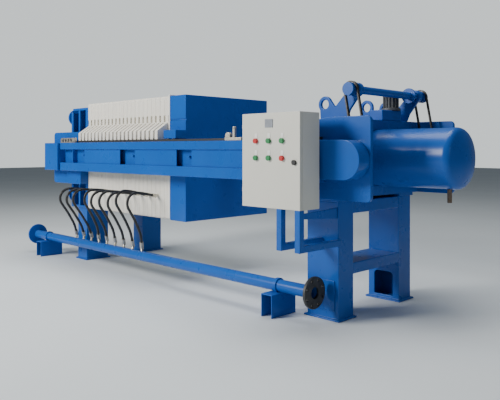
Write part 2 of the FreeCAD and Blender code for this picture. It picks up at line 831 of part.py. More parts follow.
def chain_loop(y, top, bottom, radius):
    """One closed roller chain round two equal wheels, as a band with straight strands."""
    line = bottom - top
    across = V(-line.z, 0, line.x).normalize()
    inner = radius + chain_lift
    outer = inner + chain_thickness

    def belt(r):
        a = top + across * r
        b = bottom + across * r
        c = bottom - across * r
        d = top - across * r
        along = V(line).normalize()
        wire = Part.Wire([
            Part.LineSegment(a, b).toShape(),
            Part.Arc(b, bottom + along * r, c).toShape(),
            Part.LineSegment(c, d).toShape(),
            Part.Arc(d, top - along * r, a).toShape(),
        ])
        return Part.Face(wire).extrude(V(0, chain_width, 0))

    loop = belt(outer).cut(belt(inner))
    loop.translate(V(0, y - chain_width / 2, 0))
    return loop


def lug_outline():
    """Corners of a lug, from its foot up to the bearing, down to the valley and round under the eye."""
    x = housing_left_x
    z = housing_top_z
    ring = lug_eye_radius + lug_eye_rim
    slant = math.radians(lug_slant)
    ring_top = (lug_eye_x + ring * math.sin(slant), lug_eye_z + ring * math.cos(slant))
    ring_side = (lug_eye_x - ring * math.cos(slant), lug_eye_z - ring * math.sin(slant))
    reach = bearing_radius - seat_gap
    return [
        (x + lug_foot, housing_shoulder_z), (housing_box_x, housing_shoulder_z),
        (housing_box_x, z), (x + lug_waist[0], z + lug_waist[1]),
        (shaft_x + reach / 2, shaft_z - reach * math.cos(slant)),
        (shaft_x - reach * math.sin(slant), shaft_z + reach * math.cos(slant)),
        (x + lug_valley[0], z + lug_valley[1]), ring_top, ring_side]


def eye_plate(outline, y_middle):
    """A plate in the XZ plane with a lifting eye; what would reach into the housing is cut off."""
    y0 = y_middle - lug_thickness / 2
    ring_middle = V(lug_eye_x, y0, lug_eye_z)
    plate = slab_y(outline, y0, y0 + lug_thickness)
    plate = plate.fuse(rod(ring_middle, Y_AXIS, lug_eye_radius + lug_eye_rim, lug_thickness))
    plate = plate.cut(rod(ring_middle, Y_AXIS, lug_eye_radius, lug_thickness))
    under = slab_y([
        (housing_left_x, housing_bottom_z), (housing_right_x, housing_bottom_z),
        (housing_right_x, housing_top_z), (housing_shoulder_x, housing_top_z),
        (housing_left_x, housing_shoulder_z)], y0, y0 + lug_thickness)
    return plate.cut(under)


def lug():
    """The +Y lug: lifting eye on one horn, the shaft's bearing on the other."""
    plate = eye_plate(lug_outline(), lug_y)
    start = V(shaft_x, lug_y - bearing_length / 2, shaft_z)
    plate = plate.fuse(rod(start, Y_AXIS, bearing_radius, bearing_length))
    return plate.cut(rod(start, Y_AXIS, shaft_radius + running_clearance, bearing_length)).removeSplitter()


def middle_eye():
    """A lifting eye by itself, near the middle of the housing."""
    ring = lug_eye_radius + lug_eye_rim
    outline = [
        (lug_eye_x - ring, housing_shoulder_z), (lug_eye_x + ring, housing_shoulder_z),
        (lug_eye_x + ring, lug_eye_z), (lug_eye_x - ring, lug_eye_z)]
    return eye_plate(outline, middle_eye_y).removeSplitter()


def gear_motor():
    """Finned motor standing on its flange, with a cowl over its fan."""
    middle = V(housing_left_x + motor_x, motor_y, housing_top_z + gearbox_height)
    flange = rod(middle, Z_AXIS, motor_flange_radius, motor_flange_thickness)
    body = rod(middle, Z_AXIS, motor_radius - fin_height, motor_height)
    cowl = rod(middle + Z_AXIS * motor_height, Z_AXIS, motor_radius, motor_cowl_height)
    fins = []
    for i in range(fin_count // 2):
        fin = Part.makeBox(
            2 * motor_radius, fin_thickness, motor_height, middle - V(motor_radius, fin_thickness / 2, 0))
        fin.rotate(middle, Z_AXIS, 360.0 * i / fin_count)
        fins.append(fin)
    fins = Part.makeCompound(fins).common(rod(middle, Z_AXIS, motor_radius, motor_height))
    return fused(flange, body, cowl, *fins.Solids)


def chain_drive():
    keep("drive_shaft", drive_shaft())
    keep("shaft_lugs", lug(), mirrored(lug()), middle_eye())
    top = V(shaft_x, 0, shaft_z)
    bottom = V(lower_sprocket_x, 0, guard_middle_z)
    chain = chain_loop(sprocket_y, top, bottom, sprocket_pitch_radius)
    keep("drive_chains", chain, mirrored(chain))
    stubs = []
    for side in (-1, 1):
        y0, y1 = sorted((side * (sprocket_y - chain_width), side * (housing_half_width - housing_plate)))
        wheel_y = side * sprocket_y
        wheel = rod(V(lower_sprocket_x, wheel_y - chain_width / 2, guard_middle_z), Y_AXIS,
                    sprocket_pitch_radius + chain_lift - seat_gap, chain_width)
        axle = rod(V(lower_sprocket_x, y0, guard_middle_z), Y_AXIS, shaft_core_radius, y1 - y0)
        stubs.append(fused(wheel, axle))
    keep("lower_sprockets", *stubs)
    x0, x1 = gearbox_x
    y0, y1 = gearbox_y
    keep("gearbox", box(
        housing_left_x + x0, housing_left_x + x1, y0, y1, housing_top_z, housing_top_z + gearbox_height))
    keep("gear_motor", gear_motor())


# ---------------------------------------------------------------- control cabinet
def cabinet_shell():
    """Open-fronted steel case with a turned-in lip behind the door, and the fixed hinge knuckles."""
    x0, x1 = cabinet_x
    z0, z1 = cabinet_z
    front = cabinet_front_y + door_thickness + door_gap
    case = box(x0, x1, front, cabinet_back_y, z0, z1)
    t = cabinet_wall
    case = case.cut(box(x0 + t, x1 - t, front + t, cabinet_back_y - t, z0 + t, z1 - t))
    f = cabinet_flange
    return case.cut(box(x0 + f, x1 - f, front, front + t, z0 + f, z1 - f))


def cabinet_door():
    """Shallow pan door: flat front with turned-back edges."""
    x0, x1 = cabinet_x
    z0, z1 = cabinet_z
    back = cabinet_front_y + door_thickness
    pan = box(x0, x1, cabinet_front_y, back, z0, z1)
    t = cabinet_wall
    return pan.cut(box(x0 + t, x1 - t, cabinet_front_y + t, back, z0 + t, z1 - t))


def hinge_line():
    """X and Y of the door's hinge pins, just outside the case's left edge."""
    return cabinet_x[0] - hinge_radius, cabinet_front_y + door_thickness + door_gap / 2


def hinge_knuckles(fixed):
    """Lower (fixed, with the pin) or upper (door) halves of the two lift-off hinges."""
    x, y = hinge_line()
    halves = []
    for z in (cabinet_z[0] + hinge_inset_z, cabinet_z[1] - hinge_inset_z):
        low = z - hinge_length if fixed else z + seat_gap
        knuckle = rod(V(x, y, low), Z_AXIS, hinge_radius, hinge_length - seat_gap)
        if fixed:
            leaf = box(x, cabinet_x[0], y + 1.0, y + 30.0, low, low + hinge_length - seat_gap)
            leaf = leaf.cut(rod(V(x, y, low), Z_AXIS, hinge_radius - 0.5, hinge_length))
            pin = rod(V(x, y, low), Z_AXIS, hinge_pin_radius, hinge_length * 1.9)
            halves.append(fused(knuckle, leaf, pin))
        else:
            leaf = box(x, cabinet_x[0], y - 16.0, y - 1.0, low, low + hinge_length - seat_gap)
            half = fused(knuckle, leaf)
            bore = rod(V(x, y, low), Z_AXIS, hinge_pin_radius + running_clearance, hinge_length)
            halves.append(half.cut(bore))
    return halves


def cabinet():
    keep("cabinet_case", fused(cabinet_shell(), *hinge_knuckles(True)))
    keep("cabinet_door", fused(cabinet_door(), *hinge_knuckles(False)))
    front = cabinet_front_y
    buttons = []
    for z in button_rows_z:
        for x in button_columns_x:
            buttons.append(rod(V(x, front - button_height, z), Y_AXIS, button_radius, button_height))
    keep("push_buttons", *buttons)
    width, height = display_size
    middle = button_columns_x[1]
    keep("door_display", box(
        middle - width / 2, middle + width / 2, front - display_thickness, front,
        display_z - height / 2, display_z + height / 2))
    keep("door_lock", rod(V(lock_x, front - lock_height, lock_z), Y_AXIS, lock_radius, lock_height))
    posts = []
    for x in post_x:
        upright = box(x, x + post_size, front, front + post_size, post_bottom_z, cabinet_z[0])
        arm_end = -leg_y[1]
        arm = box(x, x + post_size, front, arm_end, post_bottom_z, post_bottom_z + post_size)
        posts.append(fused(upright, arm))
    below, above = gusset_flare
    arm_top = upper_arm_z + upper_arm_height
    x = post_x[0]
    gusset = slab_x([
        (front + post_size, upper_arm_z), (-leg_y[1], upper_arm_z - below), (-leg_y[1], arm_top + above),
        (front + post_size, arm_top)], x, x + gusset_thickness)
    keep("cabinet_stand", fused(posts[0], gusset), posts[1])


# ---------------------------------------------------------------- manifold and hoses
def manifold():
    start = V(pipe_left_x + pipe_flange_thickness, pipe_y, pipe_z)
    length = pipe_right_x - pipe_left_x - 2 * pipe_flange_thickness
    keep("manifold_pipe", ring(start, X_AXIS, pipe_radius, pipe_radius - pipe_wall, length))
    blind = rod(V(pipe_left_x, pipe_y, pipe_z), X_AXIS, pipe_flange_radius, pipe_flange_thickness)
    keep("blind_flange", blind)
    right = V(pipe_right_x - pipe_flange_thickness, pipe_y, pipe_z)
    flange = ring(right, X_AXIS, pipe_flange_radius, pipe_radius - pipe_wall, pipe_flange_thickness)
    flange = flange.cut(bolt_circle(
        right, X_AXIS, Z_AXIS, pipe_flange_pcd, pipe_flange_holes, pipe_flange_hole_radius,
        pipe_flange_thickness))
    keep("inlet_flange", flange)
    supports = []
    for x in support_x:
        half = support_width / 2
        top = pipe_z - pipe_radius
        y0 = pipe_y - support_length / 2
        y1 = pipe_y + support_length / 2
        channel = box(x - half, x + half, y0, y1, 0.0, top)
        t = support_wall
        channel = channel.cut(box(x - half + t, x + half - t, y0, y1, 0.0, top - t))
        clamp = rod(
            V(x - clamp_width / 2, pipe_y, pipe_z), X_AXIS, pipe_radius + clamp_thickness, clamp_width)
        clamp = clamp.cut(box(x - half, x + half, y0, y1, 0.0, top - t))
        held_pipe = rod(V(x - half, pipe_y, pipe_z), X_AXIS, pipe_radius + seat_gap, support_width)
        supports.append(fused(channel, clamp).cut(held_pipe))
    keep("pipe_supports", *supports)


# The hoses' route, from the plate port out and over, then back down to the manifold: the share of the
# way along X from the port to the outlet, Y and Z.
HOSE_ROUTE = [
    (0.00, -520.0, 694.0), (0.00, -582.0, 702.0), (0.02, -642.0, 709.0), (0.04, -702.0, 714.0),
    (0.08, -760.0, 714.0), (0.13, -810.0, 676.0), (0.20, -815.0, 612.0), (0.30, -772.0, 560.0),
    (0.43, -712.0, 494.0), (0.60, -654.0, 424.0), (0.82, -596.0, 360.0), (1.00, -562.0, 302.0)]
# How far each hose's bend stands out and up from that route.
HOSE_SWAY = [
    (0.0, 0.0), (2.0, -4.0), (8.0, 4.0), (-34.0, 6.0), (-26.0, -3.0), (-30.0, 2.0), (-36.0, -4.0),
    (-36.0, 22.0), (-62.0, 8.0)]


def hose_points(index):
    """The route of one hose; its sway grows from nothing at the ends to all of it at the bend."""
    port_x = plate_port_xs[index]
    outlet_x = outlet_xs[index]
    out, up = HOSE_SWAY[index]
    points = []
    last = len(HOSE_ROUTE) - 1
    for i, (share, y, z) in enumerate(HOSE_ROUTE):
        sway = math.sin(math.pi * i / last)
        points.append(V(port_x + share * (outlet_x - port_x), y - out * sway, z + up * sway))
    return points


def tube_path(points):
    """Straight runs joined by tangent arcs, each as large as its two runs allow, and the arcs' radii."""
    edges = []
    radii = []
    start = points[0]
    for before, corner, after in zip(points, points[1:], points[2:]):
        inward = (before - corner)
        outward = (after - corner)
        shorter = min(inward.Length, outward.Length)
        inward.normalize()
        outward.normalize()
        turn = math.pi - math.acos(max(-1.0, min(1.0, inward.dot(outward))))
        cut = 0.45 * shorter
        radii.append(cut / math.tan(turn / 2))
        arc_start = corner + inward * cut
        arc_end = corner + outward * cut
        bisector = (inward + outward).normalize()
        middle = corner + bisector * (radii[-1] * (1 / math.cos(turn / 2) - 1))
        edges.append(Part.LineSegment(start, arc_start).toShape())
        edges.append(Part.Arc(arc_start, middle, arc_end).toShape())
        start = arc_end
    edges.append(Part.LineSegment(start, points[-1]).toShape())
    return Part.Wire(edges), radii


def hose(index):
    """One hose as a plain solid tube along its route."""
    points = hose_points(index)
    path, radii = tube_path(points)
    section = Part.Wire(Part.makeCircle(hose_radius, points[0], points[1] - points[0]))
    tube = path.makePipeShell([section], True, False)
    expected = math.pi * hose_radius ** 2 * path.Length
    print("hose", index + 1, "length", round(path.Length, 1), "smallest radius", round(min(radii), 1),
          "volume ratio", round(tube.Volume / expected, 4))
    return tube


def fitting(end, before, foot, length):
    """Crimped sleeve in line with the hose's last run, on a stub that comes from its foot."""
    axis = (end - before).normalize()
    sleeve = rod(end, axis, ferrule_radius, length)
    inner_end = end + axis * (length - fitting_overlap)
    stub = rod(foot, inner_end - foot, stub_radius, (inner_end - foot).Length)
    return fused(sleeve, stub)


def hoses():
    lower = []
    upper = []
    around_pipe = rod(
        V(pipe_left_x, pipe_y, pipe_z), X_AXIS, pipe_radius + seat_gap, pipe_right_x - pipe_left_x)
    pack = box(0.0, pack_length, -plate_width / 2, plate_width / 2, plate_bottom_z, plate_top_z)
    for i in range(len(hose_plates)):
        points = hose_points(i)
        keep("hose_%d" % (i + 1), hose(i))
        foot = V(outlet_xs[i], pipe_y, pipe_top_z - fitting_sink)
        lower.append(fitting(points[-1], points[-2], foot, ferrule_length).cut(around_pipe))
        port = V(plate_port_xs[i] + parting_gap / 2, -plate_width / 2 + fitting_sink, port_height_z)
        upper.append(fitting(points[0], points[1], port, plate_ferrule_length).cut(pack))
    keep("manifold_fittings", *lower)
    keep("plate_fittings", *upper)


# ---------------------------------------------------------------- plate shifter
def shifter_carriage():
    """The +Y carriage: base plate along the rail's outer half, a roller, and a post with a knob."""
    x0, x1 = shifter_x
    y0 = handle_tip_y + 2 * moving_clearance
    y1 = beam_outer_y - moving_clearance
    top = beam_top_z + shifter_height
    base = box(x0, x1, y0, y1, beam_top_z + seat_gap, top)
    middle_y = (y0 + y1) / 2
    roller_x = x0 + shifter_roller_radius
    roller = rod(
        V(roller_x, middle_y - shifter_roller_width / 2, top + shifter_roller_radius / 2), Y_AXIS,
        shifter_roller_radius, shifter_roller_width)
    roller = roller.cut(box(x0, x1, y0, y1, beam_bottom_z, top))
    middle_x = (x0 + x1) / 2
    half = shifter_post_size / 2
    post_top = top + shifter_post_height
    post = box(middle_x - half, middle_x + half, middle_y - half, middle_y + half, top, post_top)
    knob = rod(V(middle_x, middle_y, post_top), Z_AXIS, shifter_knob_radius, shifter_knob_radius)
    return fused(base, roller, post, knob)


def take_up_rack():
    """Slotted rack that takes up the shifter chain's slack, on top of the +Y beam by the thrust head."""
    x0, x1 = rack_x
    y1 = beam_outer_y - moving_clearance
    y0 = y1 - rack_width
    top = beam_top_z + rack_height
    body = box(x0, x1, y0, y1, beam_top_z, top)
    body = rounded(body, rack_height / 2, Y_AXIS, lambda c: c.x < x0 + 1.0 and c.z > top - 1.0)
    pitch = (x1 - x0 - rack_height) / rack_slots
    low = beam_top_z + (rack_height - rack_slot_height) / 2
    for i in range(rack_slots):
        left = x0 + rack_height / 2 + pitch * i + (pitch - rack_slot_width) / 2
        body = body.cut(box(left, left + rack_slot_width, y0, y1, low, low + rack_slot_height))
    return body


def plate_shifter():
    carriage = shifter_carriage()
    keep("shifter_carriages", carriage, mirrored(carriage))
    rack = take_up_rack()
    keep("take_up_racks", rack, mirrored(rack))


# ---------------------------------------------------------------- the whole press
filter_plates()
beams()
fixed_end()
moving_head()
cylinder_group()
housing_legs()
chain_drive()
cabinet()
manifold()
hoses()
plate_shifter()

rigid = Part.makeCompound([s for name, s in nodes.items() if not name.startswith("hose_")])
bounds = rigid.BoundBox
shift = V(-(bounds.XMin + bounds.XMax) / 2, -(bounds.YMin + bounds.YMax) / 2, 0)
print("origin is at", round(-shift.x, 4), round(-shift.y, 4), "from the machine datum;",
      "size", round(bounds.XLength, 1), round(bounds.YLength, 1), round(bounds.ZLength, 1))

os.makedirs("parts", exist_ok=True)
for name, shape in nodes.items():
    shape.translate(shift)
    shape.exportStep("parts/%s.step" % name)
print("the shifter carriages travel", round(shifter_travel_x[0] - shifter_x[0], 1), "to",
      round(shifter_travel_x[1] - shifter_x[1], 1))
print(len(nodes), "nodes,", round(sum(s.Volume for s in nodes.values()) / 1e9, 4), "cubic metres of solid")
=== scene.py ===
"""Looks of the plate filter press: rolled edges and finishes on every piece of the frame, the nine
hoses on their real routes, the buttons of the control cabinet with a painted highlight above each,
and a plain studio. Metres, in the row frame; layout values are given from the machine datum, which
is the plate face of the thrust head (X), the centre plane (Y) and the floor (Z)."""
import json
import math

import bpy
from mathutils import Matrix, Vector

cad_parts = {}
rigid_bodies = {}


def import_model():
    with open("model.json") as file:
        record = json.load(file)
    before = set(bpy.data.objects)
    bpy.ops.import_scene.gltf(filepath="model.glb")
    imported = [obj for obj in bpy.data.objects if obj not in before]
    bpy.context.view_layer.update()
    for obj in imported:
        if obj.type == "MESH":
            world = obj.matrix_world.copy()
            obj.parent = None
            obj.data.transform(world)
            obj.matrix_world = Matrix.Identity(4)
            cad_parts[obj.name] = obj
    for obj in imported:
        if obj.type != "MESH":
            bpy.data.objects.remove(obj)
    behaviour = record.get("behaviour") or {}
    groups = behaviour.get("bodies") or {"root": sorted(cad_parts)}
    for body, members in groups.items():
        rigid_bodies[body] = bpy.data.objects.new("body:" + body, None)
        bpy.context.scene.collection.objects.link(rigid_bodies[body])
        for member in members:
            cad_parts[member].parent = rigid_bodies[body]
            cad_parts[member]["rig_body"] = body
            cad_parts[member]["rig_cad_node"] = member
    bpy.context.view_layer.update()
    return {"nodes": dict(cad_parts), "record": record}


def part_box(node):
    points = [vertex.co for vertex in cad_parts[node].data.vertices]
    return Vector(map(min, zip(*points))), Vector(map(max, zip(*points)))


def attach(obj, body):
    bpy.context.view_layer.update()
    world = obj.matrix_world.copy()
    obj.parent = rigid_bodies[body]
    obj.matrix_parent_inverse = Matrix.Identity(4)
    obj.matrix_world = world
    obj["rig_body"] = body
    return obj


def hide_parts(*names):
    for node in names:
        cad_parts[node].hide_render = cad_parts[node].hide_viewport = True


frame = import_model()
nodes = frame["nodes"]
bpy.ops.object.select_all(action="DESELECT")

body_of = {
    node: body for body, members in frame["record"]["behaviour"]["bodies"].items() for node in members}
slot_of = {part["node"]: part["material_slot"] for part in frame["record"]["subparts"]}

head_low, head_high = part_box("thrust_head")
DATUM = Vector((head_high.x, (head_low.y + head_high.y) / 2, 0.0))


def at(x, y, z):
    """A point given from the machine datum, in the row frame."""
    return DATUM + Vector((x, y, z))


# ---------------------------------------------------------------- camera, light and floor
CAMERA_PLACE = (3.844, -3.3835, 1.075)
CAMERA_YAW = 44.95
CAMERA_LENS = 43.73
SENSOR_WIDTH = 36.0
CAMERA_SHIFT_Y = -0.1026

FLOOR_SIZE = 60.0
FLOOR_COLOUR = (0.71, 0.76, 0.78)
SKY_COLOUR = (0.83, 0.88, 0.89)
ROOM_LIGHT = (0.80, 0.90, 1.0)
ROOM_STRENGTH = 0.16
# Each softbox: its place, what it faces, its side in metres, power in watts and colour.
LAMPS = [
    ("key_light", (-2.6, -7.0, 4.2), (0.4, -0.2, 0.8), 2.6, 760.0, (1.0, 0.98, 0.94)),
    ("top_light", (0.6, 0.4, 6.5), (0.2, 0.0, 0.8), 4.0, 300.0, (1.0, 1.0, 1.0)),
    ("right_light", (7.5, -1.0, 2.6), (1.2, 0.0, 0.9), 2.4, 14.0, (0.9, 0.95, 1.0)),
]


def add_camera():
    """The viewing angle: level, a little above half the machine's height, looking along its length."""
    data = bpy.data.cameras.new("camera")
    data.lens = CAMERA_LENS
    data.sensor_width = SENSOR_WIDTH
    data.shift_y = CAMERA_SHIFT_Y
    data.clip_end = 100.0
    camera = bpy.data.objects.new("camera", data)
    camera.location = CAMERA_PLACE
    camera.rotation_euler = (math.radians(90.0), 0.0, math.radians(CAMERA_YAW))
    bpy.context.scene.collection.objects.link(camera)
    bpy.context.scene.camera = camera


def add_softbox(name, place, target, size, power, colour):
    """A square area lamp that faces its target."""
    data = bpy.data.lights.new(name, "AREA")
    data.shape = "SQUARE"
    data.size = size
    data.energy = power
    data.color = colour
    lamp = bpy.data.objects.new(name, data)
    lamp.location = place
    lamp.rotation_euler = (Vector(target) - Vector(place)).to_track_quat("-Z", "Y").to_euler()
    bpy.context.scene.collection.objects.link(lamp)


def add_room():
    """Pale surroundings: an even fill on the object, and a light backdrop where the camera sees it."""
    world = bpy.data.worlds.new("room")
    bpy.context.scene.world = world
    world.use_nodes = True
    tree = world.node_tree
    tree.nodes.clear()
    output = tree.nodes.new("ShaderNodeOutputWorld")
    fill = tree.nodes.new("ShaderNodeBackground")
    fill.inputs["Color"].default_value = (*ROOM_LIGHT, 1.0)
    fill.inputs["Strength"].default_value = ROOM_STRENGTH
    backdrop = tree.nodes.new("ShaderNodeBackground")
    backdrop.inputs["Color"].default_value = (*SKY_COLOUR, 1.0)
    backdrop.inputs["Strength"].default_value = 1.0
    path = tree.nodes.new("ShaderNodeLightPath")
    mix = tree.nodes.new("ShaderNodeMixShader")
    tree.links.new(path.outputs["Is Camera Ray"], mix.inputs[0])
    tree.links.new(fill.outputs[0], mix.inputs[1])
    tree.links.new(backdrop.outputs[0], mix.inputs[2])
    tree.links.new(mix.outputs[0], output.inputs["Surface"])


def add_floor():
    """A wide pale floor with the faintest cloudiness."""
    bpy.ops.mesh.primitive_plane_add(size=FLOOR_SIZE, location=(0.0, 0.0, 0.0))
    floor = bpy.context.object
    floor.name = "studio_floor"
    finish = Finish("studio_floor", FLOOR_COLOUR, roughness=0.75)
    cloud = finish.noise(scale=0.7, detail=2.0)
    finish.tint(cloud, 0.97, 1.03)
    floor.data.materials.append(finish.material)


def add_lights():
    """A large key light from the front, one overhead, and a weak cool one from the cylinder end."""
    for name, place, target, size, power, colour in LAMPS:
        add_softbox(name, place, target, size, power, colour)


# ---------------------------------------------------------------- finishes
def new_group(name, inputs, outputs):
    """An empty shader group with its named sockets; returns the group and its two end nodes."""
    group = bpy.data.node_groups.new(name, "ShaderNodeTree")
    for label, kind, value in inputs:
        socket = group.interface.new_socket(label, in_out="INPUT", socket_type=kind)
        if value is not None:
            socket.default_value = value
    for label, kind in outputs:
        group.interface.new_socket(label, in_out="OUTPUT", socket_type=kind)
    return group, group.nodes.new("NodeGroupInput"), group.nodes.new("NodeGroupOutput")


def add_math(tree, operation, first, second):
    """A Math node; each operand is a socket or a number."""
    node = tree.nodes.new("ShaderNodeMath")
    node.operation = operation
    for socket, value in zip(node.inputs, (first, second)):
        if isinstance(value, (int, float)):
            socket.default_value = value
        else:
            tree.links.new(value, socket)
    return node.outputs[0]


def add_noise(tree, vector, scale, detail=2.0, roughness=0.5):
    node = tree.nodes.new("ShaderNodeTexNoise")
    node.inputs["Detail"].default_value = detail
    node.inputs["Roughness"].default_value = roughness
    tree.links.new(vector, node.inputs["Vector"])
    if isinstance(scale, (int, float)):
        node.inputs["Scale"].default_value = scale
    else:
        tree.links.new(scale, node.inputs["Scale"])
    return node.outputs["Fac"]


def add_range(tree, value, low, high, out_low=0.0, out_high=1.0, smooth=False):
    node = tree.nodes.new("ShaderNodeMapRange")
    if smooth:
        node.interpolation_type = "SMOOTHSTEP"
    tree.links.new(value, node.inputs["Value"])
    for label, number in (("From Min", low), ("From Max", high), ("To Min", out_low), ("To Max", out_high)):
        node.inputs[label].default_value = number
    return node.outputs["Result"]


def make_sprayed_surface():
    """Sprayed coat: fine orange peel over the slow waves of welded plate, and where the coat lies thinner."""
    group, ends, out = new_group(
        "sprayed_surface",
        [("Vector", "NodeSocketVector", None), ("Peel Scale", "NodeSocketFloat", 260.0),
         ("Wave Scale", "NodeSocketFloat", 3.2), ("Wave", "NodeSocketFloat", 0.8)],
        [("Height", "NodeSocketFloat"), ("Thin Coat", "NodeSocketFloat")])
    peel = add_noise(group, ends.outputs["Vector"], ends.outputs["Peel Scale"], 1.0)
    wave = add_noise(group, ends.outputs["Vector"], ends.outputs["Wave Scale"], 2.0)
    waves = add_math(group, "MULTIPLY", wave, ends.outputs["Wave"])
    fine = add_math(group, "MULTIPLY", peel, 0.012)
    group.links.new(add_math(group, "ADD", waves, fine), out.inputs["Height"])
    patches = add_noise(group, ends.outputs["Vector"], 5.5, 5.0, 0.62)
    group.links.new(add_range(group, patches, 0.42, 0.68), out.inputs["Thin Coat"])
    return group


def make_settled_dust():
    """Dust that settles on faces that look up, in uneven drifts."""
    group, ends, out = new_group(
        "settled_dust",
        [("Vector", "NodeSocketVector", None), ("Normal", "NodeSocketVector", None),
         ("Scale", "NodeSocketFloat", 7.0), ("Amount", "NodeSocketFloat", 0.5)],
        [("Dust", "NodeSocketFloat")])
    split = group.nodes.new("ShaderNodeSeparateXYZ")
    group.links.new(ends.outputs["Normal"], split.inputs[0])
    upward = add_range(group, split.outputs["Z"], 0.35, 0.95, smooth=True)
    clouds = add_noise(group, ends.outputs["Vector"], ends.outputs["Scale"], 6.0, 0.65)
    drift = add_range(group, clouds, 0.3, 0.75)
    mask = add_math(group, "MULTIPLY", upward, drift)
    group.links.new(add_math(group, "MULTIPLY", mask, ends.outputs["Amount"]), out.inputs["Dust"])
    return group


def make_fine_scratches():
    """Long thin handling marks in two directions, as a mask."""
    group, ends, out = new_group(
        "fine_scratches",
        [("Vector", "NodeSocketVector", None), ("Scale", "NodeSocketFloat", 30.0)],
        [("Scratches", "NodeSocketFloat")])
    marks = []
    for turn, stretch in ((0.5, (1.0, 0.06, 0.3)), (2.1, (0.07, 1.0, 0.9))):
        mapping = group.nodes.new("ShaderNodeMapping")
        mapping.inputs["Rotation"].default_value = (turn, 0.4, turn)
        mapping.inputs["Scale"].default_value = stretch
        group.links.new(ends.outputs["Vector"], mapping.inputs["Vector"])
        streak = add_noise(group, mapping.outputs[0], ends.outputs["Scale"], 4.0, 0.7)
        marks.append(add_range(group, streak, 0.66, 0.72))
    group.links.new(add_math(group, "MAXIMUM", marks[0], marks[1]), out.inputs["Scratches"])
    return group


GROUPS = {}


def group_named(name, maker):
    """The shared group of that name, made at its first use."""
    if name not in GROUPS:
        GROUPS[name] = maker()
    return GROUPS[name]


class Finish:
    """A material being mixed: its Principled shader, and the few moves that every finish is made of."""

    def __init__(self, name, colour, roughness=0.5, metallic=0.0, coat=0.0, coat_roughness=0.1):
        self.material = bpy.data.materials.new(name)
        self.material.use_nodes = True
        self.tree = self.material.node_tree
        self.shader = self.tree.nodes["Principled BSDF"]
        self.colour = (*colour, 1.0)
        self.shader.inputs["Base Color"].default_value = self.colour
        self.shader.inputs["Roughness"].default_value = roughness
        self.shader.inputs["Metallic"].default_value = metallic
        self.shader.inputs["Coat Weight"].default_value = coat
        self.shader.inputs["Coat Roughness"].default_value = coat_roughness
        self.coordinates = self.tree.nodes.new("ShaderNodeTexCoord")
        self.place = self.coordinates.outputs["Object"]
        self.top_colour = None

    def noise(self, scale, detail=2.0, roughness=0.5, vector=None):
        return add_noise(self.tree, vector or self.place, scale, detail, roughness)

    def stretched(self, scale):
        """Object coordinates stretched by a factor on each axis."""
        mapping = self.tree.nodes.new("ShaderNodeMapping")
        mapping.inputs["Scale"].default_value = scale
        self.tree.links.new(self.place, mapping.inputs["Vector"])
        return mapping.outputs[0]

    def group(self, name, maker, **values):
        node = self.tree.nodes.new("ShaderNodeGroup")
        node.node_tree = group_named(name, maker)
        for label, value in values.items():
            socket = node.inputs[label.replace("_", " ")]
            if isinstance(value, (int, float)):
                socket.default_value = value
            else:
                self.tree.links.new(value, socket)
        return node.outputs

    def layer(self, mask, colour):
        """Lays another colour over what is there, where the mask says."""
        mix = self.tree.nodes.new("ShaderNodeMix")
        mix.data_type = "RGBA"
        self.tree.links.new(mask, mix.inputs["Factor"])
        if self.top_colour is None:
            mix.inputs["A"].default_value = self.colour
        else:
            self.tree.links.new(self.top_colour, mix.inputs["A"])
        mix.inputs["B"].default_value = (*colour, 1.0)
        self.top_colour = mix.outputs["Result"]
        self.tree.links.new(self.top_colour, self.shader.inputs["Base Color"])

    def tint(self, value, darkest, lightest):
        """Darkens and lightens the colour by a value from 0 to 1."""
        factor = add_range(self.tree, value, 0.25, 0.75, darkest, lightest)
        scale = self.tree.nodes.new("ShaderNodeVectorMath")
        scale.operation = "SCALE"
        if self.top_colour is None:
            scale.inputs[0].default_value = self.colour[:3]
        else:
            self.tree.links.new(self.top_colour, scale.inputs[0])
        self.tree.links.new(factor, scale.inputs["Scale"])
        self.top_colour = scale.outputs[0]
        self.tree.links.new(self.top_colour, self.shader.inputs["Base Color"])

    def roughness(self, value, low, high):
        result = add_range(self.tree, value, 0.0, 1.0, low, high)
        self.tree.links.new(result, self.shader.inputs["Roughness"])

    def bump(self, height, distance, strength=1.0):
        node = self.tree.nodes.new("ShaderNodeBump")
        node.inputs["Strength"].default_value = strength
        node.inputs["Distance"].default_value = distance
        self.tree.links.new(height, node.inputs["Height"])
        self.tree.links.new(node.outputs[0], self.shader.inputs["Normal"])

    def normal(self):
        geometry = self.tree.nodes.new("ShaderNodeNewGeometry")
        return geometry.outputs["Normal"]


def blue_paint():
    finish = Finish("blue_paint", (0.003, 0.088, 0.40), roughness=0.30, coat=0.04, coat_roughness=0.12)
    finish.shader.inputs["Specular IOR Level"].default_value = 0.28
    sprayed = finish.group("sprayed_surface", make_sprayed_surface, Vector=finish.place)
    finish.tint(finish.noise(2.4, 3.0, vector=finish.place), 0.93, 1.07)
    finish.layer(add_math(finish.tree, "MULTIPLY", sprayed["Thin Coat"], 0.06), (0.02, 0.17, 0.54))
    dust = finish.group(
        "settled_dust", make_settled_dust, Vector=finish.place, Normal=finish.normal(), Amount=0.08)
    finish.layer(dust["Dust"], (0.30, 0.36, 0.42))
    finish.roughness(finish.noise(9.0, 4.0), 0.22, 0.36)
    finish.bump(sprayed["Height"], 0.004, 0.55)
    return finish.material


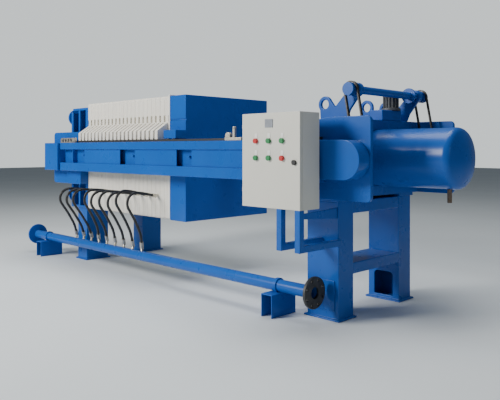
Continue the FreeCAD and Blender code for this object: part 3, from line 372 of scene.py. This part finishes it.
def plate_polypropylene():
    finish = Finish("plate_polypropylene", (0.76, 0.73, 0.66), roughness=0.5)
    flow = finish.noise(1.0, 3.0, vector=finish.stretched((55.0, 3.0, 3.0)))
    finish.tint(flow, 0.93, 1.05)
    stain = add_range(finish.tree, finish.noise(6.0, 6.0, 0.6), 0.55, 0.8, 0.0, 0.22)
    finish.layer(stain, (0.60, 0.55, 0.45))
    finish.roughness(finish.noise(14.0, 3.0), 0.42, 0.6)
    finish.bump(finish.noise(420.0, 2.0), 0.0006, 0.5)
    finish.shader.inputs["Subsurface Weight"].default_value = 0.06
    finish.shader.inputs["Subsurface Radius"].default_value = (0.01, 0.008, 0.006)
    return finish.material


def end_sheet():
    finish = Finish("end_sheet", (0.83, 0.83, 0.80), roughness=0.35)
    finish.tint(finish.noise(3.0, 3.0), 0.97, 1.02)
    finish.roughness(finish.noise(8.0, 2.0), 0.3, 0.45)
    finish.bump(finish.noise(6.0, 1.0), 0.003, 0.4)
    return finish.material


def dark_slide():
    finish = Finish("wear_strip", (0.022, 0.022, 0.024), roughness=0.5)
    marks = finish.group("fine_scratches", make_fine_scratches, Vector=finish.place, Scale=45.0)
    finish.layer(add_math(finish.tree, "MULTIPLY", marks["Scratches"], 0.35), (0.12, 0.12, 0.12))
    finish.roughness(finish.noise(20.0, 3.0), 0.4, 0.62)
    finish.bump(finish.noise(300.0, 1.0), 0.0004, 0.5)
    return finish.material


def machined_steel():
    finish = Finish("machined_steel", (0.50, 0.50, 0.50), roughness=0.38, metallic=0.9)
    turned = finish.noise(1.0, 2.0, vector=finish.stretched((900.0, 30.0, 30.0)))
    finish.tint(finish.noise(12.0, 4.0), 0.82, 1.08)
    finish.roughness(turned, 0.28, 0.48)
    finish.bump(turned, 0.0002, 0.4)
    return finish.material


def chromed_rod():
    finish = Finish("chromed_rod", (0.66, 0.67, 0.69), roughness=0.1, metallic=1.0)
    rings = finish.noise(1.0, 2.0, vector=finish.stretched((260.0, 2.0, 2.0)))
    finish.tint(rings, 0.95, 1.03)
    finish.roughness(rings, 0.07, 0.17)
    return finish.material


def chain_steel():
    finish = Finish("chain_steel", (0.055, 0.052, 0.05), roughness=0.42, metallic=0.75)
    finish.tint(finish.noise(60.0, 4.0), 0.6, 1.5)
    finish.roughness(finish.noise(80.0, 2.0), 0.3, 0.6)
    finish.bump(finish.noise(500.0, 2.0), 0.0003, 0.5)
    return finish.material


def motor_grey():
    finish = Finish("motor_grey", (0.075, 0.08, 0.085), roughness=0.5, coat=0.1)
    sprayed = finish.group("sprayed_surface", make_sprayed_surface, Vector=finish.place, Peel_Scale=420.0)
    finish.tint(finish.noise(14.0, 4.0), 0.8, 1.2)
    finish.bump(sprayed["Height"], 0.001, 0.5)
    return finish.material


def cabinet_grey():
    finish = Finish("cabinet_grey", (0.66, 0.65, 0.585), roughness=0.46)
    finish.tint(finish.noise(2.0, 3.0), 0.975, 1.02)
    dust = finish.group(
        "settled_dust", make_settled_dust, Vector=finish.place, Normal=finish.normal(), Amount=0.25)
    finish.layer(dust["Dust"], (0.5, 0.49, 0.45))
    finish.roughness(finish.noise(25.0, 3.0), 0.4, 0.52)
    finish.bump(finish.noise(700.0, 1.0), 0.0005, 0.6)
    return finish.material


def hose_rubber():
    finish = Finish("hose_rubber", (0.012, 0.012, 0.013), roughness=0.42)
    finish.tint(finish.noise(20.0, 4.0), 0.7, 1.5)
    dull = finish.noise(35.0, 3.0)
    finish.roughness(dull, 0.32, 0.55)
    finish.bump(finish.noise(240.0, 3.0), 0.0012, 0.7)
    return finish.material


def fitting_zinc():
    finish = Finish("fitting_zinc", (0.56, 0.53, 0.46), roughness=0.35, metallic=0.85)
    finish.tint(finish.noise(45.0, 4.0), 0.75, 1.15)
    finish.roughness(finish.noise(60.0, 3.0), 0.26, 0.5)
    finish.bump(finish.noise(380.0, 2.0), 0.0003, 0.4)
    return finish.material


def flange_black():
    finish = Finish("flange_black", (0.035, 0.036, 0.038), roughness=0.5, metallic=0.2)
    finish.tint(finish.noise(18.0, 5.0), 0.6, 1.6)
    finish.roughness(finish.noise(40.0, 3.0), 0.35, 0.65)
    finish.bump(finish.noise(160.0, 4.0), 0.0012, 0.6)
    return finish.material


def brown_steel():
    finish = Finish("brown_steel", (0.17, 0.12, 0.085), roughness=0.55, metallic=0.3)
    finish.tint(finish.noise(40.0, 5.0), 0.6, 1.4)
    finish.roughness(finish.noise(50.0, 3.0), 0.4, 0.7)
    finish.bump(finish.noise(220.0, 3.0), 0.0008, 0.6)
    return finish.material


def moulded_plastic(name, colour, roughness=0.32):
    finish = Finish(name, colour, roughness=roughness)
    finish.tint(finish.noise(60.0, 3.0), 0.92, 1.06)
    finish.roughness(finish.noise(120.0, 2.0), roughness - 0.06, roughness + 0.1)
    finish.bump(finish.noise(900.0, 1.0), 0.0002, 0.35)
    return finish.material


def display_glass():
    finish = Finish("display_plastic", (0.30, 0.32, 0.36), roughness=0.16, coat=0.6)
    finish.tint(finish.noise(25.0, 2.0), 0.9, 1.1)
    finish.roughness(finish.noise(45.0, 2.0), 0.1, 0.24)
    return finish.material


FINISHES = {
    "blue_paint": blue_paint(),
    "plate_polypropylene": plate_polypropylene(),
    "end_sheet": end_sheet(),
    "wear_strip": dark_slide(),
    "machined_steel": machined_steel(),
    "chromed_rod": chromed_rod(),
    "chain_steel": chain_steel(),
    "motor_grey": motor_grey(),
    "cabinet_grey": cabinet_grey(),
    "button_plastic": moulded_plastic("button_red", (0.55, 0.03, 0.03)),
    "display_plastic": display_glass(),
    "black_plastic": moulded_plastic("black_plastic", (0.02, 0.02, 0.022), 0.4),
    "hose_rubber": hose_rubber(),
    "fitting_zinc": fitting_zinc(),
    "flange_black": flange_black(),
    "brown_steel": brown_steel(),
}


# ---------------------------------------------------------------- working with pieces
def only(piece):
    """Makes a piece the active object and the only one selected."""
    bpy.ops.object.select_all(action="DESELECT")
    piece.select_set(True)
    bpy.context.view_layer.objects.active = piece


def paint(piece, *materials):
    piece.data.materials.clear()
    for material in materials:
        piece.data.materials.append(material)


def use_frame_finishes():
    """Every frame piece gets the finish of its material slot."""
    for name, node in nodes.items():
        paint(node, FINISHES[slot_of[name]])


# ---------------------------------------------------------------- rolled edges
EDGE_ANGLE = 32.0
# How far the edges of each frame piece are rolled over, in metres.
ROLLED = {
    "thrust_head": 0.004, "head_arms": 0.004, "end_blocks": 0.005, "front_beam": 0.004, "rear_beam": 0.004,
    "rail_panels": 0.002, "follower": 0.005, "follower_brackets": 0.003, "cylinder_housing": 0.004,
    "chain_guards": 0.004, "beam_seats": 0.003, "housing_pads": 0.002, "front_housing_leg": 0.005,
    "rear_housing_leg": 0.005, "front_head_leg": 0.005, "rear_head_leg": 0.005, "leg_ties": 0.005,
    "leg_cover": 0.003, "cabinet_stand": 0.003, "pipe_supports": 0.002, "blind_flange": 0.003,
    "inlet_flange": 0.003, "shaft_lugs": 0.004, "feed_nozzle": 0.003, "filtrate_nozzles": 0.003,
    "cabinet_case": 0.0016, "cabinet_door": 0.0022, "chamber_plates": 0.004, "membrane_plates": 0.004,
    "end_sheet": 0.002, "wear_strips": 0.002, "gear_motor": 0.003, "shifter_carriages": 0.003,
    "follower_rollers": 0.002, "push_buttons": 0.002, "drain_nozzle": 0.002, "gearbox": 0.005,
    "take_up_racks": 0.001, "piston_rod": 0.004,
}


def rolled_copy(node, width):
    """A copy of a frame piece with whole flat faces and rolled edges, which stands for the piece."""
    piece = nodes[node].copy()
    piece.data = nodes[node].data.copy()
    piece.name = node + "_finished"
    piece.parent = None
    bpy.context.scene.collection.objects.link(piece)
    only(piece)
    bpy.ops.mesh.customdata_custom_splitnormals_clear()
    bpy.ops.object.mode_set(mode="EDIT")
    bpy.ops.mesh.select_all(action="SELECT")
    bpy.ops.mesh.remove_doubles(threshold=0.00005)
    bpy.ops.mesh.dissolve_limited(angle_limit=math.radians(0.5))
    bpy.ops.object.mode_set(mode="OBJECT")
    bpy.ops.object.shade_smooth_by_angle(angle=math.radians(EDGE_ANGLE))
    bevel = piece.modifiers.new("rolled_edges", "BEVEL")
    bevel.width = width
    bevel.segments = 2
    bevel.limit_method = "ANGLE"
    bevel.angle_limit = math.radians(EDGE_ANGLE)
    bevel.use_clamp_overlap = False
    bevel.harden_normals = True
    bpy.ops.object.modifier_apply(modifier=bevel.name)
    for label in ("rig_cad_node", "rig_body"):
        if label in piece:
            del piece[label]
    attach(piece, body_of[node])
    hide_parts(node)
    return piece


def roll_edges():
    """Rolls every piece of the table; returns the finished pieces by node."""
    return {node: rolled_copy(node, width) for node, width in ROLLED.items()}


# ---------------------------------------------------------------- control cabinet
BUTTON_RADIUS = 0.016
# The white patches above the buttons are a painted highlight for the glare on the domed caps: their size,
# rise above each button centre and rounded edge.
GLARE_PATCH_SIZE = (0.021, 0.0018, 0.030)
GLARE_PATCH_RISE = 0.031
GLARE_PATCH_EDGE = 0.0006
# The stop buttons are red, by row from the top and column from the left; all the others are green.
STOP_BUTTONS = [(0, 0), (1, 2)]


def button_places():
    """Centres of the six buttons on the door, in rows from the top and columns from the left."""
    low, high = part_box("push_buttons")
    columns = [low.x + BUTTON_RADIUS, (low.x + high.x) / 2, high.x - BUTTON_RADIUS]
    rows = [high.z - BUTTON_RADIUS, low.z + BUTTON_RADIUS]
    return {
        (row, column): Vector((x, high.y, z))
        for row, z in enumerate(rows) for column, x in enumerate(columns)}


def colour_buttons(piece):
    """Green caps on the start buttons; the stop buttons keep their red."""
    places = button_places()
    piece.data.materials.append(moulded_plastic("button_green", (0.02, 0.22, 0.07)))
    for face in piece.data.polygons:
        nearest = min(places, key=lambda key: (places[key] - face.center).length)
        face.material_index = 0 if nearest in STOP_BUTTONS else 1


def add_button_glare_patches():
    """A small white patch on the door above each button: a painted highlight that stands in for the glare on
    its domed cap.
    """
    glare_patches = []
    for place in button_places().values():
        bpy.ops.mesh.primitive_cube_add(
            size=1.0, location=place + Vector((0.0, -GLARE_PATCH_SIZE[1] / 2, GLARE_PATCH_RISE)), scale=GLARE_PATCH_SIZE)
        glare_patches.append(bpy.context.object)
    only(glare_patches[0])
    for glare_patch in glare_patches:
        glare_patch.select_set(True)
    bpy.ops.object.join()
    piece = bpy.context.object
    piece.name = "button_glare_patches"
    only(piece)
    bpy.ops.object.transform_apply(location=True, rotation=True, scale=True)
    bevel = piece.modifiers.new("rolled_edges", "BEVEL")
    bevel.width = GLARE_PATCH_EDGE
    bevel.segments = 2
    bpy.ops.object.modifier_apply(modifier=bevel.name)
    # The pale end sheet finish gives the patches their painted highlight.
    paint(piece, FINISHES["end_sheet"])
    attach(piece, "cabinet_door")


# ---------------------------------------------------------------- hoses
HOSE_DIAMETER = 0.022
HOSE_PLATES = [3, 5, 7, 9, 11, 13, 15, 17, 19]
PLATE_PITCH = 0.060
OUTLET_FIRST_X = -0.055
OUTLET_SPACING = 0.13375
# The route, as in the frame: the share of the way along X from plate port to outlet, Y and Z.
HOSE_ROUTE = [
    (0.00, -0.520, 0.694), (0.00, -0.582, 0.702), (0.02, -0.642, 0.709), (0.04, -0.702, 0.714),
    (0.08, -0.760, 0.714), (0.13, -0.810, 0.676), (0.20, -0.815, 0.612), (0.30, -0.772, 0.560),
    (0.43, -0.712, 0.494), (0.60, -0.654, 0.424), (0.82, -0.596, 0.360), (1.00, -0.562, 0.302)]
# How far each hose's bend stands out and up from that route.
HOSE_SWAY = [
    (0.0, 0.0), (0.002, -0.004), (0.008, 0.004), (-0.034, 0.006), (-0.026, -0.003), (-0.030, 0.002),
    (-0.036, -0.004), (-0.036, 0.022), (-0.062, 0.008)]


def hose_points(index):
    port_x = PLATE_PITCH * (HOSE_PLATES[index] - 0.5)
    outlet_x = OUTLET_FIRST_X + OUTLET_SPACING * index
    out, up = HOSE_SWAY[index]
    last = len(HOSE_ROUTE) - 1
    points = []
    for i, (share, y, z) in enumerate(HOSE_ROUTE):
        sway = math.sin(math.pi * i / last)
        points.append(at(port_x + share * (outlet_x - port_x), y - out * sway, z + up * sway))
    return points


def line_length(curve):
    """Length of a curve's own line, before it is given its thickness."""
    line = bpy.data.objects.new("line", curve)
    mesh = bpy.data.meshes.new_from_object(line)
    ends = [tuple(mesh.vertices[i].co for i in edge.vertices) for edge in mesh.edges]
    length = sum((a - b).length for a, b in ends)
    bpy.data.objects.remove(line)
    bpy.data.meshes.remove(mesh)
    return length


def add_hoses():
    """The squeeze hoses, each one smooth line from its plate's fitting to its outlet."""
    for index in range(len(HOSE_PLATES)):
        points = hose_points(index)
        curve = bpy.data.curves.new("hose_line", "CURVE")
        curve.dimensions = "3D"
        spline = curve.splines.new("NURBS")
        spline.points.add(len(points) - 1)
        for target, point in zip(spline.points, points):
            target.co = (*point, 1.0)
        spline.order_u = 3
        spline.use_endpoint_u = True
        spline.resolution_u = 8
        length = line_length(curve)
        curve.bevel_depth = HOSE_DIAMETER / 2
        curve.bevel_resolution = 5
        curve.use_fill_caps = True
        hose = bpy.data.objects.new("squeeze_hose_%d" % (index + 1), curve)
        bpy.context.scene.collection.objects.link(hose)
        paint(hose, FINISHES["hose_rubber"])
        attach(hose, "frame")
        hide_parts("hose_%d" % (index + 1))


# ---------------------------------------------------------------- the whole picture
add_camera()
add_room()
add_lights()
add_floor()
use_frame_finishes()
finished = roll_edges()
colour_buttons(finished["push_buttons"])
# Painted highlight: a white patch above each button for the glare on its cap.
add_button_glare_patches()
add_hoses()
